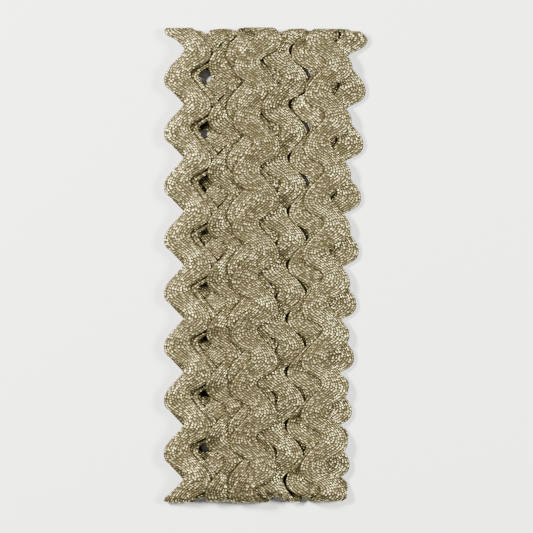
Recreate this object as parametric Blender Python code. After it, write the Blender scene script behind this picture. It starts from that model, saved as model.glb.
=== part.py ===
"""A flat hank of ric rac trim: one solid of its wound form.

The trim is wound lengthwise over two fold lines, so each turn is a front run, a fold at the
top and a back run that leads to the foot of the next front run. Every run is a strip with
the trim's own wave, and the strips are joined into one closed body. The hank lies on its
back, its front face up, with the fold lines at the ends of Y.
"""

import math
from collections import namedtuple

import bmesh
import bpy

MM = 0.001

# The trim: one full wave, the swing of its centre line and its half width
WAVE_LENGTH = 14.25 * MM
SWING = 2.74 * MM
HALF_WIDTH = 3.61 * MM
SLANT_EXTRA = 0.70 * MM
# The points of the wave lean away from the direction of winding
LEAN = 0.30
LEAN_START = 1.50 * MM

# The hank: fold line to fold line, and the plane between its front and back runs
LENGTH = 126.8 * MM
MID_HEIGHT = 2.7 * MM
SEAM_OVERLAP = 0.5 * MM
SEAM_STEP = 0.02 * MM
FOLD_REACH = 2.6 * MM
FOLD_TAKE_UP = 2.0 * MM
DRIFT_LENGTH = 12.0 * MM
LAST_TAIL = 12.0 * MM

STEPS_PER_WAVE = 8
FOLD_STEPS = 3
EDGE_PASSES = 12

TRIM_COLOUR = (0.42, 0.36, 0.20, 1.0)
TRIM_METALLIC = 0.55
TRIM_ROUGHNESS = 0.42

# The turns in winding order, in millimetres. The centres are those of the front run at its
# two fold lines, the notch is its first right-hand one below the hank's top, the inset is
# that of its folds from the hank's ends, the rises are from the middle plane, and the drift
# is how far the back run slips sideways just below the top fold.
Turn = namedtuple("Turn", "name top_x bottom_x notch inset front_rise back_rise drift")
TURNS = (
    Turn("a", 13.0, 11.6, 5.5, 1.3, 1.30, 1.40, 4.0),
    Turn("b", 21.0, 15.6, 8.5, 0.9, 1.50, 2.90, -3.0),
    Turn("c", 5.4, 3.6, 6.2, 0.2, 1.90, 1.60, -2.0),
    Turn("d", 0.1, -0.4, 5.3, 1.6, 1.20, 1.25, 0.0),
    Turn("e", -13.5, -13.5, 5.6, 0.5, 2.00, 2.80, 2.2),
    Turn("f", -18.6, -18.9, 13.0, 0.8, 1.60, 1.70, -1.5),
    Turn("g", -20.8, -20.9, 12.6, 0.0, 2.60, 3.00, 0.0),
    Turn("h", -8.9, -9.9, 9.0, 0.3, 2.40, 3.10, -1.5),
    Turn("i", -4.3, -3.6, 6.0, 1.3, 2.85, 2.30, 0.0),
    Turn("j", -2.1, -3.5, 9.4, 0.0, 3.30, 3.40, 2.0),
    Turn("k", 16.9, 15.3, 16.6, 0.3, 2.50, 1.50, 0.0),
)

# A run between its two ends: the places of its centre line and the angles of its wave
Run = namedtuple(
    "Run", "name top bottom top_x bottom_x top_angle bottom_angle lean rise drift")


def clear_scene():
    for obj in list(bpy.data.objects):
        bpy.data.objects.remove(obj, do_unlink=True)


def front_angle(turn, height):
    """The angle of a front run's wave at this height: half a turn at a right-hand notch."""
    notch_height = LENGTH / 2 - turn.notch * MM
    return math.pi + math.tau * (notch_height - height) / WAVE_LENGTH


def front_run(turn):
    top = LENGTH / 2 - turn.inset * MM
    return Run("front_" + turn.name, top, -top, turn.top_x * MM, turn.bottom_x * MM,
               front_angle(turn, top), front_angle(turn, -top), -LEAN,
               turn.front_rise * MM, 0)


def back_run(turn, following):
    """The back run carries the wave over the fold and meets the next turn's front run."""
    top = LENGTH / 2 - turn.inset * MM
    bottom = following.inset * MM - LENGTH / 2
    top_angle = -front_angle(turn, top) + math.tau * FOLD_TAKE_UP / WAVE_LENGTH
    bottom_angle = -front_angle(following, bottom) - math.tau * FOLD_TAKE_UP / WAVE_LENGTH
    plain_angle = top_angle + math.tau * (top - bottom) / WAVE_LENGTH
    bottom_angle += math.tau * round((plain_angle - bottom_angle) / math.tau)
    return Run("back_" + turn.name, top, bottom, turn.top_x * MM, following.bottom_x * MM,
               top_angle, bottom_angle, LEAN, turn.back_rise * MM, turn.drift * MM)


def tail_run(turn):
    """The trim's last end, folded over the top and laid on the back."""
    top = LENGTH / 2 - turn.inset * MM
    top_angle = -front_angle(turn, top) + math.tau * FOLD_TAKE_UP / WAVE_LENGTH
    return Run("tail_" + turn.name, top, top - LAST_TAIL, turn.top_x * MM, turn.top_x * MM,
               top_angle, top_angle + math.tau * LAST_TAIL / WAVE_LENGTH, LEAN,
               turn.back_rise * MM, 0)


def edge_offset(angle, side):
    """How far an edge lies from the run's straight centre line."""
    return SWING * math.cos(angle) + side * (HALF_WIDTH + SLANT_EXTRA * math.sin(angle) ** 2)


def centre_x(run, height):
    """The straight way from end to end, and the slip sideways that dies out along it."""
    part = (run.top - height) / (run.top - run.bottom)
    ramp = min((run.top - height) / DRIFT_LENGTH, 1)
    slip = run.drift * ramp * ramp * (3 - 2 * ramp) * (1 - part)
    return run.top_x + (run.bottom_x - run.top_x) * part + slip


def edge_x(run, height, side):
    """The edge's place at this height, which the lean moves along the run."""
    level = height
    for _ in range(EDGE_PASSES):
        part = (run.top - level) / (run.top - run.bottom)
        angle = run.top_angle + (run.bottom_angle - run.top_angle) * part
        offset = edge_offset(angle, side)
        level = height - run.lean * (math.hypot(offset, LEAN_START) - LEAN_START)
    return centre_x(run, height) + offset


def stations(run, round_bottom):
    """Pairs of height along the run and rise there, which falls in an arc at each fold."""
    arc = [math.pi / 2 * step / FOLD_STEPS for step in range(FOLD_STEPS + 1)]
    down = [(run.top - FOLD_REACH * (1 - math.cos(a)), run.rise * math.sin(a)) for a in arc]
    if not round_bottom:
        return down + [(run.bottom, run.rise)]
    up = [(run.bottom + FOLD_REACH * (1 - math.cos(a)), run.rise * math.sin(a)) for a in arc]
    first, last = down[-1][0], up[-1][0]
    count = round((first - last) / WAVE_LENGTH * STEPS_PER_WAVE)
    between = [(first + (last - first) * step / count, run.rise) for step in range(1, count)]
    return down + between + up[::-1]


def add_strip(run, facing, seam, collection, round_bottom=True):
    """One run as a closed strip, from just past the middle plane to its own outer face."""
    mesh = bmesh.new()
    rings = []
    for height, rise in stations(run, round_bottom):
        outer = MID_HEIGHT + facing * rise
        inner = MID_HEIGHT - facing * seam
        left, right = edge_x(run, height, -1), edge_x(run, height, 1)
        corners = ((left, outer), (left, inner), (right, inner), (right, outer))
        rings.append([mesh.verts.new((x, height, z)) for x, z in corners])
    for ring, following in zip(rings, rings[1:]):
        for corner in range(4):
            after = (corner + 1) % 4
            mesh.faces.new((ring[corner], ring[after], following[after], following[corner]))
    mesh.faces.new(rings[0])
    mesh.faces.new(rings[-1])
    bmesh.ops.recalc_face_normals(mesh, faces=mesh.faces)
    data = bpy.data.meshes.new(run.name)
    mesh.to_mesh(data)
    mesh.free()
    strip = bpy.data.objects.new(run.name, data)
    strip.hide_render = True
    strip.display_type = "WIRE"
    collection.objects.link(strip)
    return strip


def seam_depth(order):
    """Each turn reaches a little further past the middle plane, so no two faces coincide."""
    return SEAM_OVERLAP + order * SEAM_STEP


def add_strips(collection):
    """Every run but the first, which the others are joined to."""
    for order, turn in enumerate(TURNS[1:], 1):
        add_strip(front_run(turn), 1, seam_depth(order), collection)
    for order, (turn, following) in enumerate(zip(TURNS, TURNS[1:])):
        add_strip(back_run(turn, following), -1, seam_depth(order), collection)
    last = len(TURNS) - 1
    add_strip(tail_run(TURNS[last]), -1, seam_depth(last), collection, round_bottom=False)


def trim_material():
    material = bpy.data.materials.new("trim")
    material.use_nodes = True
    shader = material.node_tree.nodes["Principled BSDF"]
    shader.inputs["Base Color"].default_value = TRIM_COLOUR
    shader.inputs["Metallic"].default_value = TRIM_METALLIC
    shader.inputs["Roughness"].default_value = TRIM_ROUGHNESS
    return material


def add_surface_block():
    """What lies below the resting surface is cut away, so the hank rests flat."""
    bpy.ops.mesh.primitive_cube_add(size=2 * LENGTH)
    block = bpy.context.object
    block.name = "surface_block"
    block.location.z = -LENGTH
    block.hide_render = True
    block.display_type = "WIRE"
    return block


def build_hank():
    scene = bpy.context.scene
    guides = bpy.data.collections.new("runs")
    scene.collection.children.link(guides)
    hank = add_strip(front_run(TURNS[0]), 1, seam_depth(0), scene.collection)
    hank.name = "hank"
    hank.hide_render = False
    hank.display_type = "TEXTURED"
    add_strips(guides)
    join = hank.modifiers.new("join", "BOOLEAN")
    join.operation = "UNION"
    join.operand_type = "COLLECTION"
    join.collection = guides
    join.solver = "EXACT"
    rest = hank.modifiers.new("rest", "BOOLEAN")
    rest.operation = "DIFFERENCE"
    rest.object = add_surface_block()
    rest.solver = "EXACT"
    hank.data.materials.append(trim_material())


clear_scene()
build_hank()
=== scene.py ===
"""The looks of a flat hank of ric rac: one wavy braid wound over two fold lines.

The braid lies in turns. A turn is the fold at the foot, a front run, the fold at the top and
a back run. Every run is laid on the ones below it from the floor up, then the braid's rows and
beads are raised on it. X is across the hank, Y along it, and Z up from the floor that it lies
on. Lengths are in millimetres until a mesh is made. The angle of the braid's wave grows along
the braid: its centre line is furthest right at 0 and furthest left at half a turn.
"""

import math
from collections import namedtuple

import bpy
import numpy as np
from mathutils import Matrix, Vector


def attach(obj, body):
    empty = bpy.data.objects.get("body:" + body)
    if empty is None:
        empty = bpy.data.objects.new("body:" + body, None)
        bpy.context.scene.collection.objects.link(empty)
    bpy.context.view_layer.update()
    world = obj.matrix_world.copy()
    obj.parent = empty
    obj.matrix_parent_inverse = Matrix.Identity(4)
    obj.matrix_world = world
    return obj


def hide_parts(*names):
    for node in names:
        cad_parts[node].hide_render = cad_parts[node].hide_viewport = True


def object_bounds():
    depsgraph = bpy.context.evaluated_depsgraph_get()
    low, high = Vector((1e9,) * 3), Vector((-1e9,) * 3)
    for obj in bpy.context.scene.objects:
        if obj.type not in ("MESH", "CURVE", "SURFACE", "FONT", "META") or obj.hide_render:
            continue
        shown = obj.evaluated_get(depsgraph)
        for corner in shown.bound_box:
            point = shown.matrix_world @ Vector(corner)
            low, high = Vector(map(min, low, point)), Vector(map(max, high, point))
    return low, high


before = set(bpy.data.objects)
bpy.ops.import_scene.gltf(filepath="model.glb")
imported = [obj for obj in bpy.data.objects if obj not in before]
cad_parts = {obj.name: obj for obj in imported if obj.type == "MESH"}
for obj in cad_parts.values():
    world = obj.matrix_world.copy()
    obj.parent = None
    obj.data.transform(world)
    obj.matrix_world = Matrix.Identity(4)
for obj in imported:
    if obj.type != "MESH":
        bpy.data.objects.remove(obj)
cad_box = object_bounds()

METRES = 0.001

# The braid: one full wave, the swing of its centre line, its half width, what that gains on the
# slants, its thickness, and how far its cross lines lag behind away from the centre line
WAVE_LENGTH = 14.25
SWING = 2.74
HALF_WIDTH = 3.61
SLANT_EXTRA = 0.70
THICKNESS = 1.05
LAG = 0.30
LAG_START = 1.50
EDGE_PASSES = 12

# The hank: fold line to fold line, the wave that a fold takes up, the length over which a back
# run slips sideways, and the braid's two unseen ends
LENGTH = (cad_box[1].y - cad_box[0].y) / METRES
FOLD_TAKE_UP = 2.0
DRIFT_LENGTH = 12.0
FIRST_TAIL = 14.0
LAST_TAIL = 12.0

# The turns in winding order: the front run's centres at its two fold lines, its first
# right-hand notch below the hank's top, the inset of its folds from the hank's ends, and how
# far its back run slips sideways just below the top fold
Turn = namedtuple("Turn", "name top_x bottom_x notch inset drift")
TURNS = (
    Turn("a", 13.0, 11.6, 5.5, 1.3, 4.0),
    Turn("b", 21.0, 15.6, 8.5, 0.9, -3.0),
    Turn("c", 5.4, 3.6, 6.2, 0.2, -2.0),
    Turn("d", 0.1, -0.4, 5.3, 1.6, 0.0),
    Turn("e", -13.5, -13.5, 5.6, 0.5, 2.2),
    Turn("f", -18.6, -18.9, 13.0, 0.8, -1.5),
    Turn("g", -20.8, -20.9, 12.6, 0.0, 0.0),
    Turn("h", -8.9, -9.9, 9.0, 0.3, -1.5),
    Turn("i", -4.3, -3.6, 6.0, 1.3, 0.0),
    Turn("j", -2.1, -3.5, 9.4, 0.0, 2.0),
    Turn("k", 16.9, 15.3, 16.6, 0.3, 0.0),
)

# The front runs from the lowest to the highest. Run c is under run j, but over it in one band
# of heights, and changes over within the blend.
FRONT_ORDER = "bdcaefghijk"
SWAP_UNDER, SWAP_OVER = "c", "j"
SWAP_BAND = (38.2, 48.0)
SWAP_BLEND = 1.5

# The height maps that the runs are laid on: their cells and reach, how softly a run follows
# what is under it, how far that sinks into the run, and how much each layer adds
CELL = 0.25
MAP_HALF_X = 32.0
MAP_HALF_Y = 68.0
WIDE_BLUR = 1.7
NARROW_BLUR = 0.60
LEAST_WEIGHT = 1e-4
SINK = 0.18
SETTLE_PASSES = 6
LAYER_RISE = 0.96
FLOOR_CLEARANCE = 0.12
FLOOR_SOFTNESS = 0.10

# The folds: how far one reaches past its runs, how far off the runs begin to turn to it, how
# far inside the hank's end its surroundings are read, and how each goes round the ones inside
FOLD_REACH_MOST = 2.4
FOLD_REACH_LEAST = 0.7
FOLD_APPROACH = 7.0
READ_INSIDE = 1.0
NEST_STEP = 0.55
NEST_BLUR = 1.2
NEST_BLUR_REACH = 4 * NEST_BLUR
LEAST_NEST_WEIGHT = 1e-6

# The mesh: rows across the braid, the steps across a row and across the plain inner face, and
# the steps along the braid, which are longer where a run is hidden
ROWS = 10
STEPS_PER_ROW = 3
INNER_STEPS = 4
FRONT_STEP = 0.205
BACK_STEP = 0.42
FINE_STEP = 0.02
LEAST_NORMAL = 1e-9

# The raised rows and beads: the share of a row's height that its beads make, in the middle and
# at the edges, the level that is at the braid's plain thickness, and the round of its edges
BEAD_LENGTH = 0.70
ROW_HEIGHT = 0.20
ROW_ROUNDNESS = 1.3
PLAIN_LEVEL = 0.6
BEAD_SHARE = 0.70
EDGE_BEAD_SHARE = 0.30
EDGE_BAND = 0.16
EDGE_THIN = 0.25

# The fine relief in the material: how far the beads lean and stray, how wide and round they
# are, and the share of a plain cord along the row, with what the edge rows and slants add to it
PLACE_NAME = "braid_place"
STAGGER = 0.5
BEAD_SLANT = 0.20
BEAD_JITTER = 0.44
BEAD_REACH = 0.64
BEAD_ROUNDNESS = 1.8
RIDGE_ROUNDNESS = 1.5
CORD_SHARE = 0.15
EDGE_CORD_SHARE = 0.15
SLANT_CORD_SHARE = 0.35
EDGE_ROWS = 2.0
BUMP_STRENGTH = 0.8
BUMP_HEIGHT = 0.20

# The tone, with painted light and shade in it: the ground's, and its rise over the relief, a
# painted shade where the relief is low; the painted shade of the grooves on the lobes and how
# much more on the slants; the painted shade at the rim; and each bead's painted highlight, a
# bright spot
GROUND = 0.04
PAINTED_HOLLOW_SHADE_RISE = 0.17
PAINTED_LOBE_GROOVE_SHADE = 0.35
PAINTED_SLANT_GROOVE_SHADE = 0.60
RIM_WIDTH = 0.60
SHINE_LEAST = 0.50
SHINE_RANGE = 1.50
PAINTED_HIGHLIGHT_REACH = 0.54
PAINTED_HIGHLIGHT_ROUNDNESS = 1.9
# DARK_TONE is the colour of the deepest painted shade and LIGHT_TONE that of the brightest
# painted highlights.
DARK_TONE = (0.046, 0.038, 0.019, 1)
MIDDLE_TONE = (0.114, 0.096, 0.047, 1)
LIGHT_TONE = (1.00, 0.91, 0.46, 1)
MIDDLE_TONE_AT = 0.38

# The surface: metal wrapped round a soft core, rougher in the grooves
METALLIC = 0.85
SPECULAR = 0.25
ROUGHNESS = 0.54
ROUGHNESS_SPREAD = 0.20
GROOVE_ROUGHNESS = 0.35

# The view: a square of this side round this centre, seen from far above by a long lens
FRAME_SIDE = 142.5
FRAME_CENTRE = (0.19, -0.40)
CAMERA_DISTANCE = 900.0
SENSOR = 36.0
NEAREST_SEEN = 50.0

# The stage, in metres and watts: a light on each side, a dim room and a pale floor
Light = namedtuple("Light", "name place size energy colour")
LIGHTS = (
    Light("key", (-0.40, 0.20, 0.42), 0.14, 16.0, (1.0, 0.98, 0.92)),
    Light("fill", (0.62, 0.10, 0.52), 0.26, 18.5, (1.0, 1.0, 0.98)),
)
ROOM_TONE = (1.0, 1.0, 1.0, 1)
ROOM_BRIGHTNESS = 0.22
FLOOR_SIZE = 3.0
FLOOR_TONE = (0.92, 0.92, 0.92, 1)
FLOOR_ROUGHNESS = 0.8

# A run lies between two heights, on the front or the back. Its own angle grows downwards. A
# stretch is a run or a fold from one distance along the braid to another, with functions that
# give its wave's angle, its centre line, and the height and level of its points.
FRONT, BACK = -1, 1
Run = namedtuple("Run", "name top bottom top_x bottom_x top_angle bottom_angle side drift")
Stretch = namedtuple("Stretch", "begin length step angles centre where")
map_x = np.arange(-MAP_HALF_X, MAP_HALF_X + CELL / 2, CELL)
map_y = np.arange(-MAP_HALF_Y, MAP_HALF_Y + CELL / 2, CELL)


def smooth_ramp(value):
    value = np.clip(value, 0, 1)
    return value * value * (3 - 2 * value)


def wave_angle(length):
    """How far the wave's angle goes on in this length."""
    return math.tau * length / WAVE_LENGTH


def nearest_turn(angle, target):
    """The angle moved by whole turns to be as near the target as it can."""
    return angle + math.tau * np.round((target - angle) / math.tau)


def front_angle(turn, height):
    """A front run's own angle at this height: half a turn at a right-hand notch."""
    return math.pi + wave_angle(LENGTH / 2 - turn.notch - height)


def front_run(turn):
    top = LENGTH / 2 - turn.inset
    return Run("front_" + turn.name, top, -top, turn.top_x, turn.bottom_x,
               front_angle(turn, top), front_angle(turn, -top), FRONT, 0)


def back_run(turn, following):
    """The run from one turn's top fold down to the foot of the turn that follows."""
    top = LENGTH / 2 - turn.inset
    bottom = following.inset - LENGTH / 2
    take_up = wave_angle(FOLD_TAKE_UP)
    top_angle = take_up - front_angle(turn, top)
    bottom_angle = nearest_turn(-take_up - front_angle(following, bottom),
                                top_angle + wave_angle(top - bottom))
    return Run("back_" + turn.name, top, bottom, turn.top_x, following.bottom_x,
               top_angle, bottom_angle, BACK, turn.drift)


def first_end(turn):
    """The braid's first end, laid inside the hank and brought round the foot."""
    bottom = turn.inset - LENGTH / 2
    bottom_angle = -wave_angle(FOLD_TAKE_UP) - front_angle(turn, bottom)
    return Run("first_end", bottom + FIRST_TAIL, bottom, turn.bottom_x, turn.bottom_x,
               bottom_angle - wave_angle(FIRST_TAIL), bottom_angle, BACK, 0)


def last_end(turn):
    """The braid's last end, folded over the top and laid on the back."""
    top = LENGTH / 2 - turn.inset
    top_angle = wave_angle(FOLD_TAKE_UP) - front_angle(turn, top)
    return Run("last_end", top, top - LAST_TAIL, turn.top_x, turn.top_x,
               top_angle, top_angle + wave_angle(LAST_TAIL), BACK, 0)


def run_part(run, height):
    """How far down the run this height is, from 0 to 1."""
    return (run.top - height) / (run.top - run.bottom)


def run_angle(run, height):
    return run.top_angle + (run.bottom_angle - run.top_angle) * run_part(run, height)


def run_centre(run, height):
    part = run_part(run, height)
    slip = run.drift * smooth_ramp((run.top - height) / DRIFT_LENGTH) * (1 - part)
    return run.top_x + (run.bottom_x - run.top_x) * part + slip


def offset_across(angle, across):
    """The place across the run of points from the braid's left edge, -1, to its right, 1."""
    half = HALF_WIDTH + SLANT_EXTRA * np.sin(angle) ** 2
    return SWING * np.cos(angle) + across * half


def lag(offset):
    """How far the braid's cross lines lag behind at this offset from the run's centre."""
    return LAG * (np.hypot(offset, LAG_START) - LAG_START)


def edge_line(run, edge):
    """The place of the braid's left or right edge at every height of the map."""
    level = map_y.copy()
    for _ in range(EDGE_PASSES):
        offset = offset_across(run_angle(run, level), edge)
        level = map_y - run.side * lag(offset)
    return run_centre(run, map_y) + offset


def footprint(run):
    """The cells of the map that the run covers."""
    left, right = edge_line(run, -1), edge_line(run, 1)
    inside = (map_x[None] >= left[:, None]) & (map_x[None] <= right[:, None])
    rows = (map_y >= run.bottom) & (map_y <= run.top)
    return inside & rows[:, None]


def blur_kernel(width):
    """What a blur of this width does to each wave number of the map."""
    along_y = np.fft.fftfreq(len(map_y), CELL)[:, None]
    along_x = np.fft.rfftfreq(len(map_x), CELL)[None]
    return np.exp(-2 * (math.pi * width) ** 2 * (along_x ** 2 + along_y ** 2))


WIDE, NARROW = blur_kernel(WIDE_BLUR), blur_kernel(NARROW_BLUR)


def blurred(values, kernel):
    return np.fft.irfft2(np.fft.rfft2(values) * kernel, values.shape)


def blurred_inside(values, mask, kernel):
    """A blur that takes nothing from outside the mask."""
    weight = np.maximum(blurred(mask.astype(float), kernel), LEAST_WEIGHT)
    return blurred(np.where(mask, values, 0), kernel) / weight


def laid_over(below, mask):
    """The soft underside of a run that lies on these heights."""
    sheet = blurred_inside(below, mask, WIDE)
    for _ in range(SETTLE_PASSES):
        sheet = np.maximum(sheet, np.where(mask, below - SINK, -SINK))
        sheet = blurred_inside(sheet, mask, NARROW)
    return np.maximum(sheet, 0)


def stacked(order):
    """The level of each run's middle surface, with the runs laid in this order."""
    below = np.zeros((len(map_y), len(map_x)))
    levels = {}
    for run in order:
        mask = footprint(run)
        sheet = laid_over(below, mask)
        levels[run.name] = sheet + THICKNESS / 2
        below = np.where(mask, sheet + LAYER_RISE, below)
    return levels


def all_levels(fronts, backs):
    """The runs' levels, stacked from the floor up, with the swapped order in its own band."""
    named = {turn.name: front for turn, front in zip(TURNS, fronts)}
    order = backs[::-1] + [named[name] for name in FRONT_ORDER]
    plain = stacked(order)
    lifted = named[SWAP_UNDER]
    swapped_order = [run for run in order if run is not lifted]
    swapped_order.insert(swapped_order.index(named[SWAP_OVER]) + 1, lifted)
    swapped = stacked(swapped_order)
    into = smooth_ramp((map_y - SWAP_BAND[0]) / SWAP_BLEND + 0.5)
    out = smooth_ramp((map_y - SWAP_BAND[1]) / SWAP_BLEND + 0.5)
    share = (into - out)[:, None]
    return {name: plain[name] * (1 - share) + swapped[name] * share for name in plain}


def sampled(values, x, y):
    """Values of the map between its cells."""
    column = np.clip((x + MAP_HALF_X) / CELL, 0, len(map_x) - 1)
    row = np.clip((y + MAP_HALF_Y) / CELL, 0, len(map_y) - 1)
    c = np.minimum(column.astype(int), len(map_x) - 2)
    r = np.minimum(row.astype(int), len(map_y) - 2)
    part_x, part_y = column - c, row - r
    low = values[r, c] * (1 - part_x) + values[r, c + 1] * part_x
    high = values[r + 1, c] * (1 - part_x) + values[r + 1, c + 1] * part_x
    return low * (1 - part_y) + high * part_y


def nested_crests(end, fronts):
    """How far inside the hank's end each fold stays, all along X: the folds of later turns go
    round those of earlier ones."""
    steps = np.arange(-NEST_BLUR_REACH, NEST_BLUR_REACH + CELL, CELL)
    kernel = np.exp(-0.5 * (steps / NEST_BLUR) ** 2)
    outline = np.zeros(len(map_x))
    crests = {}
    for turn, front in reversed(list(zip(TURNS, fronts))):
        height = end * (LENGTH / 2 - turn.inset - READ_INSIDE)
        left = np.interp(height, map_y, edge_line(front, -1))
        right = np.interp(height, map_y, edge_line(front, 1))
        inside = (map_x >= left) & (map_x <= right)
        crest = np.where(inside, np.maximum(outline, turn.inset), 0)
        weight = np.convolve(inside.astype(float), kernel, "same")
        crests[turn.name] = (np.convolve(crest, kernel, "same")
                             / np.maximum(weight, LEAST_NEST_WEIGHT))
        outline = np.where(inside, crests[turn.name] + NEST_STEP, outline)
    return crests


class Fold:
    """One turn's half turn of the braid over an end of the hank: 1 is the top, -1 the foot."""

    def __init__(self, end, crest, centre, front_levels, back_levels):
        self.end, self.crest = end, crest
        self.front_levels, self.back_levels = front_levels, back_levels
        near = end * (LENGTH / 2 - np.interp(centre, map_x, crest) - THICKNESS / 2)
        tall = float(self.half_height(centre, near - end * READ_INSIDE))
        self.reach = min(max(tall, FOLD_REACH_LEAST), FOLD_REACH_MOST)
        self.start = near - end * self.reach
        self.length = math.pi * math.sqrt((self.reach ** 2 + tall ** 2) / 2)

    def half_height(self, x, y):
        gap = sampled(self.front_levels, x, y) - sampled(self.back_levels, x, y)
        return np.maximum(gap / 2, THICKNESS / 2)

    def tangent(self, x):
        """The height at which the fold begins at this x."""
        crest = np.interp(x, map_x, self.crest)
        return self.end * (LENGTH / 2 - crest - THICKNESS / 2 - self.reach)

    def place(self, x, part):
        """Points on the half turn, part 0 on the front and 1 on the back."""
        y = self.tangent(x)
        middle = (sampled(self.front_levels, x, y) + sampled(self.back_levels, x, y)) / 2
        turned = math.pi * part
        return (y + self.end * self.reach * np.sin(turned),
                middle + self.half_height(x, y) * np.cos(turned))


def folds_at(end, fronts, backs, levels):
    """Each turn's fold at this end, between its front run and the back run that it joins."""
    crests = nested_crests(end, fronts)
    folds = []
    for turn, front, back in zip(TURNS, fronts, backs):
        centre = turn.top_x if end > 0 else turn.bottom_x
        folds.append(Fold(end, crests[turn.name], centre, levels[front.name], levels[back.name]))
    return folds


def approach(fold, x, y):
    """A run's height is drawn out or in near a fold, to meet it where it begins."""
    if fold is None:
        return y
    near = smooth_ramp(1 - fold.end * (fold.start - y) / FOLD_APPROACH)
    return y + (fold.tangent(x) - fold.start) * near


def run_stretch(begin, run, before, after, levels):
    """The way along a run, from the fold before it to the one after. An end has no fold."""
    first = before.start if before else run.top
    last = after.start if after else run.bottom
    way = 1 if last > first else -1

    def height(distance):
        return first + way * (distance - begin)

    def angles(distance):
        return run.side * run_angle(run, height(distance))

    def centre(distance):
        return run_centre(run, height(distance))

    def where(x, distance):
        y = approach(after, x, approach(before, x, height(distance)))
        return y, sampled(levels, x, y)

    step = FRONT_STEP if run.side == FRONT else BACK_STEP
    return Stretch(begin, abs(last - first), step, angles, centre, where)


def fold_stretch(fold, before, after):
    """The half turn between two runs, whose wave goes on evenly from one to the other."""
    begin = before.begin + before.length
    first_angle, first_centre = before.angles(begin), before.centre(begin)
    expected = first_angle + wave_angle(2 * fold.reach + FOLD_TAKE_UP)
    last_angle = nearest_turn(after.angles(after.begin), expected)
    last_centre = after.centre(after.begin)

    def part(distance):
        return (distance - begin) / fold.length

    def angles(distance):
        return first_angle + (last_angle - first_angle) * part(distance)

    def centre(distance):
        return first_centre + (last_centre - first_centre) * part(distance)

    def where(x, distance):
        done = np.clip(part(distance), 0, 1)
        return fold.place(x, done if fold.end > 0 else 1 - done)

    return Stretch(begin, fold.length, FRONT_STEP, angles, centre, where)


def way_along(runs, folds, levels):
    """The stretches in order along the braid. Run number n lies between folds n and n + 1."""
    distance = 0.0
    run_stretches = []
    for run, before, after in zip(runs, folds, folds[1:]):
        made = run_stretch(distance, run, before, after, levels[run.name])
        run_stretches.append(made)
        distance += made.length
        distance += after.length if after else 0
    stretches = run_stretches[:1]
    for before, fold, after in zip(run_stretches, folds[1:], run_stretches[1:]):
        stretches += [fold_stretch(fold, before, after), after]
    return stretches


def wound_braid():
    """Every stretch along the braid, and the distances at which each turn begins and the last
    one ends. The first end belongs to the first turn."""
    fronts = [front_run(turn) for turn in TURNS]
    backs = [first_end(TURNS[0])]
    backs += [back_run(turn, following) for turn, following in zip(TURNS, TURNS[1:])]
    backs.append(last_end(TURNS[-1]))
    levels = all_levels(fronts, backs)
    bottom_folds = folds_at(-1, fronts, backs[:-1], levels)
    top_folds = folds_at(1, fronts, backs[1:], levels)
    runs, folds = backs[:1], [None]
    for front, back, bottom, top in zip(fronts, backs[1:], bottom_folds, top_folds):
        runs += [front, back]
        folds += [bottom, top]
    folds.append(None)
    stretches = way_along(runs, folds, levels)
    a_turn = (len(stretches) - 1) // len(TURNS)
    later_turns = [stretch.begin for stretch in stretches[a_turn + 1::a_turn]]
    return stretches, [0.0] + later_turns + [stretches[-1].begin + stretches[-1].length]


def pick(stretches, distance, values):
    """One or more arrays of values, where each distance's own stretch gives them."""
    result = None
    for stretch in stretches:
        low, high = stretch.begin, stretch.begin + stretch.length
        inside = (distance >= low) & (distance < high)
        if stretch is stretches[0]:
            inside |= distance < low
        if stretch is stretches[-1]:
            inside |= distance >= high
        if not inside.any():
            continue
        found = values(stretch, inside)
        if result is None:
            result = [np.zeros(distance.shape) for _ in found]
        for target, value in zip(result, found):
            target[inside] = value
    return result


def line_along(stretches, distance):
    """The wave's angle, the run's centre and the mesh step at each distance."""
    return pick(stretches, distance, lambda stretch, on: (
        stretch.angles(distance[on]), stretch.centre(distance[on]), stretch.step))


def station_distances(stretches, begin, end):
    """Stations evenly spaced along the wavy centre line, and how long it is up to each."""
    fine = np.arange(begin, end, FINE_STEP)
    angle, centre, spacing = line_along(stretches, fine)
    across = centre + SWING * np.cos(angle)
    step = np.hypot(np.gradient(across), np.gradient(fine))
    count = np.concatenate([[0], np.cumsum(step / spacing)[:-1]])
    length = np.concatenate([[0], np.cumsum(step)[:-1]])
    stations = np.interp(np.linspace(0, count[-1], int(round(count[-1])) + 1), count, fine)
    return stations, np.interp(stations, fine, length)


def surface_points(stretches, stations, across):
    """Points of the braid's middle surface, a row for each station, and how much of a slant
    each station is on."""
    angle, centre, _ = line_along(stretches, stations)
    offset = offset_across(angle[:, None], across[None])
    x = centre[:, None] + offset
    distance = stations[:, None] - lag(offset)
    y, z = pick(stretches, distance, lambda stretch, on: stretch.where(x[on], distance[on]))
    return np.stack([x, y, z], axis=-1), np.sin(angle) ** 2


def relief(row, bead):
    """How far the rows and their beads stand out, from 0 in the grooves to 1."""
    inside_row = np.sin(math.pi * (row % 1))
    index = np.minimum(np.floor(row), ROWS - 1)
    along = np.sin(math.pi * (bead + STAGGER * (index % 2))) ** 2
    middle = 1 - np.abs(row - ROWS / 2) / (ROWS / 2)
    share = EDGE_BEAD_SHARE + (BEAD_SHARE - EDGE_BEAD_SHARE) * smooth_ramp(middle * 2)
    return inside_row ** ROW_ROUNDNESS * (1 - share + share * along)


def half_thickness(across):
    """The braid's half thickness across its width: its edges are rounded."""
    into = np.clip((np.abs(across) - (1 - EDGE_BAND)) / EDGE_BAND, 0, 1)
    return THICKNESS / 2 * (EDGE_THIN + (1 - EDGE_THIN) * np.sqrt(1 - into ** 2))


def normals_of(points):
    along = np.gradient(points, axis=0)
    across = np.gradient(points, axis=1)
    normal = np.cross(across, along)
    length = np.linalg.norm(normal, axis=-1, keepdims=True)
    return normal / np.maximum(length, LEAST_NORMAL)


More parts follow.
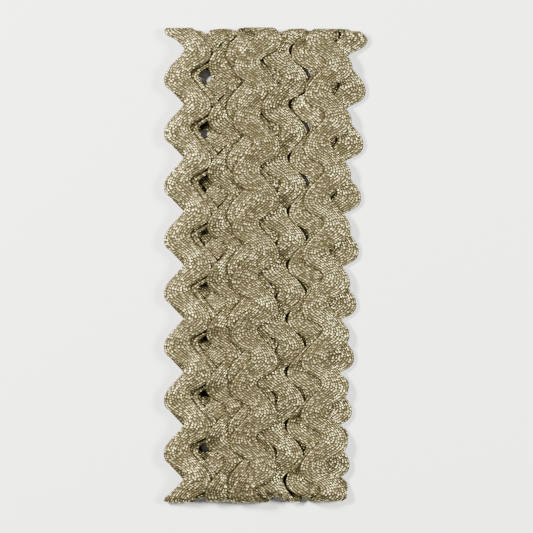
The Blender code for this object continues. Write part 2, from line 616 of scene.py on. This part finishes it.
def resting(level):
    """Levels lifted to lie on the floor, which flattens what would sink into it."""
    lifted = level + FLOOR_CLEARANCE
    return (lifted + np.sqrt(lifted ** 2 + FLOOR_SOFTNESS ** 2)) / 2


def braid_rings(points, across, row, bead, inner_columns):
    """A ring of points round the braid at each station: its outer face with the relief, then
    its plain inner face back the other way."""
    normal = normals_of(points)
    edge_fade = np.minimum((1 - np.abs(across)) / EDGE_BAND * 2, 1)
    raised = ROW_HEIGHT * (relief(row[None], bead[:, None]) - PLAIN_LEVEL) * edge_fade
    outer = points + normal * (half_thickness(across) + raised)[..., None]
    inner_half = half_thickness(across[inner_columns])[:, None]
    inner = points[:, inner_columns] - normal[:, inner_columns] * inner_half
    rings = np.concatenate([outer, inner[:, ::-1]], axis=1)
    rings[..., 2] = resting(rings[..., 2])
    return rings


def braid_places(row, bead, slant, inner_columns):
    """The bead, row and slant of each point. The inner face's rims count on past the outer
    face's rows."""
    inner_row = row[inner_columns][::-1]
    # The rims run on past the outer rows, so the painted rim shade, darkest at the outer face's
    # edge, is gone at the inner face's rim.
    inner_row[0], inner_row[-1] = ROWS + 1, -1
    rows = np.concatenate([row, inner_row])
    places = np.zeros((len(bead), len(rows), 3))
    places[..., 0] = bead[:, None]
    places[..., 1] = rows[None]
    places[..., 2] = slant[:, None]
    return places


def add_tube(name, rings, places):
    """A closed mesh round these rings, with a flat cap at each end."""
    stations, size = rings.shape[:2]
    corner = np.arange(stations - 1)[:, None] * size
    here = np.arange(size)[None]
    after = (here + 1) % size
    sides = np.stack([corner + size + here, corner + size + after, corner + after,
                      corner + here], -1).ravel()
    first_cap = np.arange(size)
    last_cap = (stations - 1) * size + first_cap[::-1]
    corners = np.concatenate([sides, first_cap, last_cap])
    starts = np.concatenate([np.arange(0, len(sides), 4), [len(sides), len(sides) + size]])
    mesh = bpy.data.meshes.new(name)
    mesh.vertices.add(stations * size)
    mesh.vertices.foreach_set("co", (rings * METRES).astype(np.float32).ravel())
    mesh.loops.add(len(corners))
    mesh.loops.foreach_set("vertex_index", corners.astype(np.int32))
    mesh.polygons.add(len(starts))
    mesh.polygons.foreach_set("loop_start", starts.astype(np.int32))
    mesh.update(calc_edges=True)
    mesh.validate()
    mesh.shade_smooth()
    attribute = mesh.attributes.new(PLACE_NAME, "FLOAT_VECTOR", "POINT")
    attribute.data.foreach_set("vector", places.astype(np.float32).ravel())
    piece = bpy.data.objects.new(name, mesh)
    bpy.context.scene.collection.objects.link(piece)
    return piece


def add_pieces(material):
    """A piece of braid for each turn, with beads that run on from piece to piece."""
    stretches, starts = wound_braid()
    across = np.linspace(-1, 1, ROWS * STEPS_PER_ROW + 1)
    row = (across + 1) / 2 * ROWS
    inner_columns = np.linspace(0, len(across) - 1, INNER_STEPS + 1).round().astype(int)
    pieces = []
    length_before = 0.0
    for turn, begin, end in zip(TURNS, starts, starts[1:]):
        stations, length = station_distances(stretches, begin, end)
        points, slant = surface_points(stretches, stations, across)
        bead = (length_before + length) / BEAD_LENGTH
        length_before += length[-1]
        rings = braid_rings(points, across, row, bead, inner_columns)
        places = braid_places(row, bead, slant, inner_columns)
        piece = add_tube("turn_" + turn.name, rings, places)
        piece.data.materials.append(material)
        pieces.append(piece)
    return pieces


class MaterialNodes:
    """A new material's nodes, with short ways to add them and to join them up."""

    def __init__(self, name):
        self.material = bpy.data.materials.new(name)
        self.material.use_nodes = True
        self.tree = self.material.node_tree
        self.shader = self.tree.nodes["Principled BSDF"]

    def add(self, kind):
        return self.tree.nodes.new(kind)

    def join(self, value, socket):
        """Gives an input its value: a number, or what another node puts out."""
        if isinstance(value, (int, float)):
            socket.default_value = value
        else:
            self.tree.links.new(value, socket)

    def math(self, operation, *values):
        node = self.add("ShaderNodeMath")
        node.operation = operation
        for socket, value in zip(node.inputs, values):
            self.join(value, socket)
        return node.outputs[0]

    def rounded(self, value, power):
        """The value to a power, with what is below 0 taken as 0."""
        return self.math("POWER", self.math("MAXIMUM", value, 0.0), power)


def add_bead_cells(nodes, bead, row):
    """Cells that hold a bead each, staggered from row to row: the distance to the bead's
    middle, and two chance values of its own."""
    odd_row = nodes.math("MODULO", nodes.math("FLOOR", row), 2.0)
    staggered = nodes.math("MULTIPLY_ADD", odd_row, STAGGER, bead)
    slanted = nodes.math("MULTIPLY_ADD", nodes.math("FRACT", row), BEAD_SLANT, staggered)
    to_middle = BEAD_JITTER / 2 - 0.5
    place = nodes.add("ShaderNodeCombineXYZ")
    nodes.join(nodes.math("ADD", slanted, to_middle), place.inputs[0])
    nodes.join(nodes.math("ADD", row, to_middle), place.inputs[1])
    cells = nodes.add("ShaderNodeTexVoronoi")
    cells.voronoi_dimensions = "2D"
    cells.inputs["Scale"].default_value = 1.0
    cells.inputs["Randomness"].default_value = BEAD_JITTER
    nodes.join(place.outputs[0], cells.inputs["Vector"])
    chance = nodes.add("ShaderNodeSeparateColor")
    nodes.join(cells.outputs["Color"], chance.inputs[0])
    return cells.outputs["Distance"], chance.outputs[0], chance.outputs[1]


def row_ridge(nodes, row):
    """A rounded ridge along each row, from 0 in the grooves to 1."""
    across_row = nodes.math("MULTIPLY", nodes.math("FRACT", row), math.pi)
    return nodes.rounded(nodes.math("SINE", across_row), RIDGE_ROUNDNESS)


def fine_height(nodes, to_bead, ridge, from_middle, slant):
    """Domed beads blended with plain cords, which the edge rows and the slants have more of."""
    reach = nodes.math("DIVIDE", to_bead, BEAD_REACH)
    dome = nodes.math("SUBTRACT", 1.0, nodes.math("MULTIPLY", reach, reach))
    dome = nodes.rounded(dome, BEAD_ROUNDNESS)
    near_edge = nodes.math("SUBTRACT", from_middle, ROWS / 2 - EDGE_ROWS)
    near_edge = nodes.math("DIVIDE", near_edge, EDGE_ROWS)
    near_edge = nodes.math("MINIMUM", nodes.math("MAXIMUM", near_edge, 0.0), 1.0)
    cord_share = nodes.math("MULTIPLY_ADD", near_edge, EDGE_CORD_SHARE, CORD_SHARE)
    cord_share = nodes.math("MULTIPLY_ADD", slant, SLANT_CORD_SHARE, cord_share)
    dome_share = nodes.math("SUBTRACT", 1.0, cord_share)
    return nodes.math("ADD", nodes.math("MULTIPLY", ridge, cord_share),
                      nodes.math("MULTIPLY", dome, dome_share))


def rim_shade(nodes, from_middle):
    """Painted shade at the braid's edges: 1 over most of the braid, falling to 0 at its very
    edges.
    """
    from_edge = nodes.math("ABSOLUTE", nodes.math("SUBTRACT", ROWS / 2, from_middle))
    return nodes.math("MINIMUM", nodes.math("DIVIDE", from_edge, RIM_WIDTH), 1.0)


def braid_tone(nodes, height, ridge, slant, to_bead, chance):
    """The ground's tone with painted shade in the hollows and grooves and a painted highlight on
    each bead.
    """
    # Painted highlight: a bright spot on each bead, of its own random brightness.
    shine = nodes.math("MULTIPLY", chance, chance)
    shine = nodes.math("MULTIPLY_ADD", shine, SHINE_RANGE, SHINE_LEAST)
    painted_highlight = nodes.math("SUBTRACT", 1.0, nodes.math("DIVIDE", to_bead, PAINTED_HIGHLIGHT_REACH))
    painted_highlight = nodes.rounded(painted_highlight, PAINTED_HIGHLIGHT_ROUNDNESS)
    # Painted shade: the ground is darker where the braid's relief is low.
    ground = nodes.math("MULTIPLY_ADD", height, PAINTED_HOLLOW_SHADE_RISE, GROUND)
    tone = nodes.math("MULTIPLY_ADD", painted_highlight, shine, ground)
    # Painted shade: the grooves between the rows are darkened, more so on the slants.
    groove_shade_depth = nodes.math("MULTIPLY_ADD", slant, PAINTED_SLANT_GROOVE_SHADE, PAINTED_LOBE_GROOVE_SHADE)
    painted_groove_shade = nodes.math("MULTIPLY", nodes.math("SUBTRACT", 1.0, ridge), groove_shade_depth)
    return nodes.math("MULTIPLY", tone, nodes.math("SUBTRACT", 1.0, painted_groove_shade))


def add_tone_ramp(nodes, tone):
    """The braid's colour for each tone, from the painted shade of its grooves to its painted
    highlights.
    """
    ramp = nodes.add("ShaderNodeValToRGB")
    ramp.color_ramp.interpolation = "LINEAR"
    dark, light = ramp.color_ramp.elements
    dark.position, dark.color = 0.0, DARK_TONE
    light.position, light.color = 1.0, LIGHT_TONE
    middle = ramp.color_ramp.elements.new(MIDDLE_TONE_AT)
    middle.color = MIDDLE_TONE
    nodes.join(tone, ramp.inputs[0])
    return ramp.outputs[0]


def add_bump(nodes, height):
    bump = nodes.add("ShaderNodeBump")
    bump.inputs["Strength"].default_value = BUMP_STRENGTH
    bump.inputs["Distance"].default_value = BUMP_HEIGHT * METRES
    nodes.join(height, bump.inputs["Height"])
    return bump.outputs[0]


def braid_material():
    """Metal-wrapped yarn: each bead of the braid is a raised spot with a painted highlight of
    its own brightness, and painted shade darkens the grooves and the edges.
    """
    nodes = MaterialNodes("metal_braid")
    attribute = nodes.add("ShaderNodeAttribute")
    attribute.attribute_name = PLACE_NAME
    parts = nodes.add("ShaderNodeSeparateXYZ")
    nodes.join(attribute.outputs["Vector"], parts.inputs[0])
    bead, row, slant = parts.outputs[0], parts.outputs[1], parts.outputs[2]
    to_bead, shine_chance, rough_chance = add_bead_cells(nodes, bead, row)
    ridge = row_ridge(nodes, row)
    from_middle = nodes.math("ABSOLUTE", nodes.math("SUBTRACT", row, ROWS / 2))
    height = fine_height(nodes, to_bead, ridge, from_middle, slant)
    shade = rim_shade(nodes, from_middle)
    tone = braid_tone(nodes, height, ridge, slant, to_bead, shine_chance)
    # Painted shade at the braid's edges, where the strands lie on one another.
    tone = nodes.math("MULTIPLY", tone, shade)
    rough = nodes.math("MULTIPLY_ADD", rough_chance, -ROUGHNESS_SPREAD, ROUGHNESS)
    sunk = nodes.math("SUBTRACT", 1.0, nodes.math("MULTIPLY", height, shade))
    rough = nodes.math("MULTIPLY_ADD", sunk, GROOVE_ROUGHNESS, rough)
    shader = nodes.shader
    nodes.join(add_tone_ramp(nodes, tone), shader.inputs["Base Color"])
    nodes.join(rough, shader.inputs["Roughness"])
    nodes.join(add_bump(nodes, height), shader.inputs["Normal"])
    shader.inputs["Metallic"].default_value = METALLIC
    shader.inputs["Specular IOR Level"].default_value = SPECULAR
    return nodes.material


def add_camera():
    data = bpy.data.cameras.new("camera")
    data.sensor_width = SENSOR
    data.lens = SENSOR * CAMERA_DISTANCE / FRAME_SIDE
    data.clip_start = NEAREST_SEEN * METRES
    camera = bpy.data.objects.new("camera", data)
    camera.location = (FRAME_CENTRE[0] * METRES, FRAME_CENTRE[1] * METRES,
                       CAMERA_DISTANCE * METRES)
    bpy.context.scene.collection.objects.link(camera)
    bpy.context.scene.camera = camera


def add_light(made):
    """A round light that faces the middle of the hank."""
    data = bpy.data.lights.new(made.name, "AREA")
    data.shape = "DISK"
    data.size = made.size
    data.energy = made.energy
    data.color = made.colour
    light = bpy.data.objects.new(made.name, data)
    light.location = made.place
    x, y, z = made.place
    light.rotation_euler = (math.atan2(math.hypot(x, y), z), 0, math.atan2(-y, -x) - math.pi / 2)
    bpy.context.scene.collection.objects.link(light)


def add_room():
    world = bpy.data.worlds.new("studio")
    world.use_nodes = True
    background = world.node_tree.nodes["Background"]
    background.inputs["Color"].default_value = ROOM_TONE
    background.inputs["Strength"].default_value = ROOM_BRIGHTNESS
    bpy.context.scene.world = world


def add_floor():
    bpy.ops.mesh.primitive_plane_add(size=FLOOR_SIZE)
    floor = bpy.context.object
    floor.name = "floor"
    nodes = MaterialNodes("pale_floor")
    nodes.shader.inputs["Base Color"].default_value = FLOOR_TONE
    nodes.shader.inputs["Roughness"].default_value = FLOOR_ROUGHNESS
    floor.data.materials.append(nodes.material)


pieces = add_pieces(braid_material())
for piece in pieces:
    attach(piece, "root")
    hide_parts("hank")
add_camera()
add_room()
for light in LIGHTS:
    add_light(light)
add_floor()
